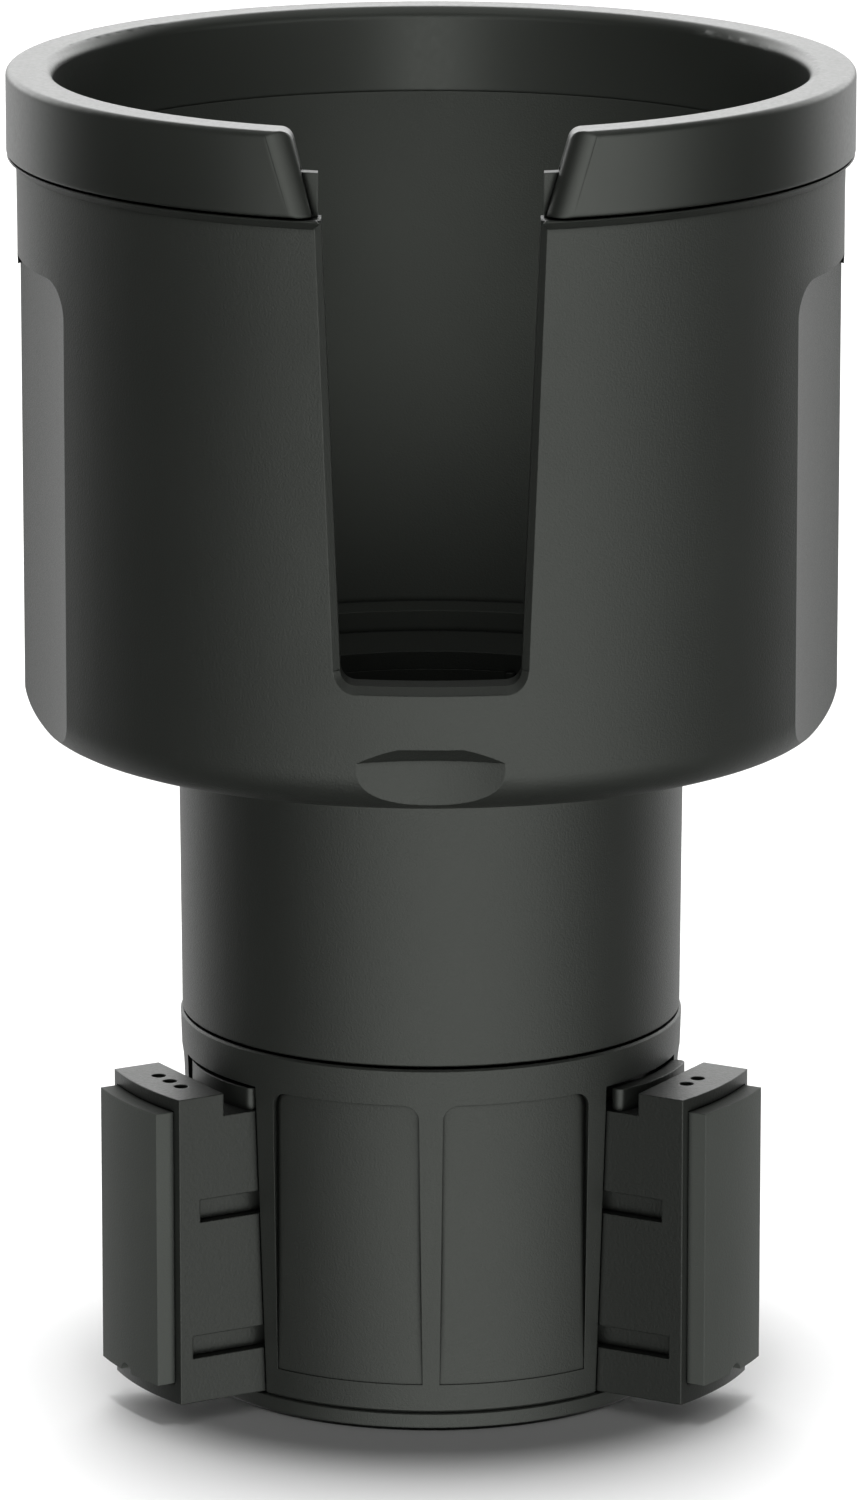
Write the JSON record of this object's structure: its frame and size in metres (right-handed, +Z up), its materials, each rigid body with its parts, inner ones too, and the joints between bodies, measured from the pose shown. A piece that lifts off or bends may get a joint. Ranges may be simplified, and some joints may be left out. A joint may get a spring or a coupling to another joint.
{
  "type": "expanding car cup holder",
  "caption": "Wide cup with a handle slot and rim ring on a narrow neck; turning the cup slides padded arms out of the base to grip a car's own cup well.",
  "frame": {"origin": "centre of the base's underside", "axes": "+Z up through the cup's mouth, the handle slot faces -Y, +X to the right as seen from the slot"},
  "size_m": [0.112, 0.1104, 0.178],
  "materials": {
    "body_plastic": "fine moulded texture",
    "ring_plastic": "smooth satin",
    "drive_plastic": "smooth moulded",
    "pad_rubber": "matte",
    "screw_steel": "plain"
  },
  "bodies": {
    "base": {"base_housing": "body_plastic", "bottom_cover": "body_plastic", "cover_screw_1": "screw_steel", "cover_screw_2": "screw_steel", "cover_screw_3": "screw_steel", "pivot_screw": "screw_steel", "pivot_washer": "screw_steel"},
    "upper": {"cup_shell": "body_plastic", "rim_ring": "ring_plastic", "neck_tube": "body_plastic", "scroll_plate": "drive_plastic", "neck_screw_1": "screw_steel", "neck_screw_2": "screw_steel", "neck_screw_3": "screw_steel", "scroll_screw_1": "screw_steel", "scroll_screw_2": "screw_steel", "scroll_screw_3": "screw_steel"},
    "arm_body_1": {"arm_1": "drive_plastic", "pad_1": "pad_rubber"},
    "arm_body_2": {"arm_2": "drive_plastic", "pad_2": "pad_rubber"},
    "arm_body_3": {"arm_3": "drive_plastic", "pad_3": "pad_rubber"}
  },
  "joints": [
    {"name": "cup_turn", "type": "hinge", "parent": "base", "child": "upper", "pos_m": [0, 0, 0], "axis": [0, 0, 1], "range_deg": [-216, 720]},
    {"name": "arm_slide_1", "type": "slide", "parent": "base", "child": "arm_body_1", "axis": [0, 1, 0], "range_m": [-0.0103, 0.0031]},
    {"name": "arm_slide_2", "type": "slide", "parent": "base", "child": "arm_body_2", "axis": [0.866, -0.5, 0], "range_m": [-0.0103, 0.0031]},
    {"name": "arm_slide_3", "type": "slide", "parent": "base", "child": "arm_body_3", "axis": [-0.866, -0.5, 0], "range_m": [-0.0103, 0.0031]}
  ],
  "couplings": [
    {"joint": "arm_slide_1", "follows": "cup_turn", "m_per_rad": -0.00081169},
    {"joint": "arm_slide_2", "follows": "cup_turn", "m_per_rad": -0.00081169},
    {"joint": "arm_slide_3", "follows": "cup_turn", "m_per_rad": -0.00081169}
  ]
}
